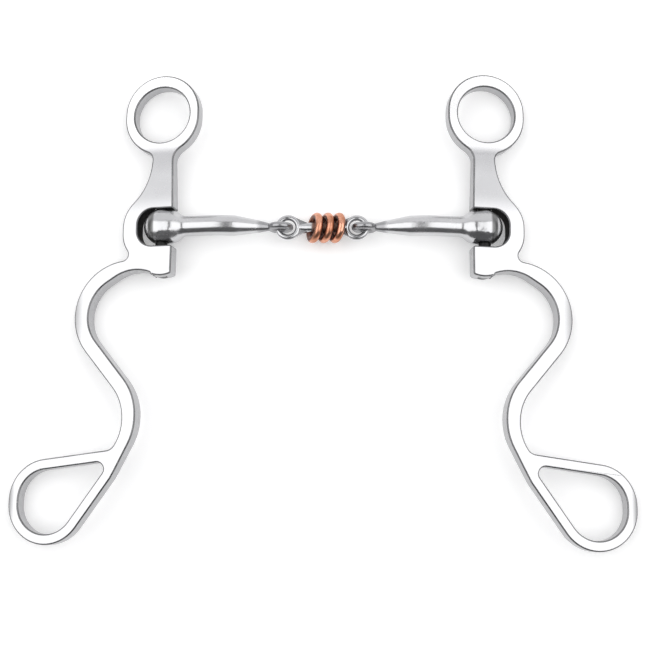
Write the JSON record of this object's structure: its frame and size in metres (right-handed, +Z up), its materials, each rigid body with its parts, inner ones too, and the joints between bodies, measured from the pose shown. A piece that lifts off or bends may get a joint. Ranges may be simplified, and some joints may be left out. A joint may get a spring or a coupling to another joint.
{
  "type": "shanked snaffle bit",
  "caption": "Western shanked bit: a jointed mouthpiece with loose copper rings on its middle link, between two swept cheeks that swivel on pins.",
  "frame": {"origin": "middle of the bit's footprint, on the surface it lies on", "axes": "+X from the left cheek to the right cheek, along the mouthpiece; +Y from the rein loops towards the headstall rings; +Z up from the surface"},
  "size_m": [0.2548, 0.1957, 0.0157],
  "materials": {
    "cheek_steel": "polished stainless steel, flat faces bright, edges rounded",
    "pin_steel": "ground stainless steel",
    "mouth_steel": "polished stainless steel",
    "copper": null
  },
  "bodies": {
    "centre_link": {"centre_link": "mouth_steel"},
    "left_arm": {"left_mouthpiece_arm": "mouth_steel"},
    "right_arm": {"right_mouthpiece_arm": "mouth_steel"},
    "left_cheek": {"left_cheek": "cheek_steel", "left_pivot_pin": "pin_steel"},
    "right_cheek": {"right_cheek": "cheek_steel", "right_pivot_pin": "pin_steel"},
    "left_copper_ring": {"left_copper_ring": "copper"},
    "middle_copper_ring": {"middle_copper_ring": "copper"},
    "right_copper_ring": {"right_copper_ring": "copper"}
  },
  "joints": [
    {"name": "left_arm_fold", "type": "hinge", "parent": "centre_link", "child": "left_arm", "pos_m": [-0.01835, 0.03292, 0.00745], "axis": [0, 0.997, -0.0779], "range_deg": [-90, 90]},
    {"name": "left_cheek_swivel", "type": "hinge", "parent": "left_arm", "child": "left_cheek", "pos_m": [-0.0667, 0.03292, 0.00745], "axis": [0, -0.997, 0.0779], "range_deg": [-100, 100]},
    {"name": "right_arm_fold", "type": "hinge", "parent": "centre_link", "child": "right_arm", "pos_m": [0.01835, 0.03292, 0.00745], "axis": [0, -0.997, 0.0779], "range_deg": [-90, 90]},
    {"name": "right_cheek_swivel", "type": "hinge", "parent": "right_arm", "child": "right_cheek", "pos_m": [0.0667, 0.03292, 0.00745], "axis": [0, 0.997, -0.0779], "range_deg": [-100, 100]},
    {"name": "left_copper_spin", "type": "hinge", "parent": "centre_link", "child": "left_copper_ring", "pos_m": [-0.0032, 0.03288, 0.00695], "axis": [0.9005, -0.1352, -0.4133], "continuous": true},
    {"name": "middle_copper_spin", "type": "hinge", "parent": "centre_link", "child": "middle_copper_ring", "pos_m": [0.0014, 0.03288, 0.00695], "axis": [0.9005, -0.1352, -0.4133], "continuous": true},
    {"name": "right_copper_spin", "type": "hinge", "parent": "centre_link", "child": "right_copper_ring", "pos_m": [0.006, 0.03288, 0.00695], "axis": [0.9005, -0.1352, -0.4133], "continuous": true}
  ]
}
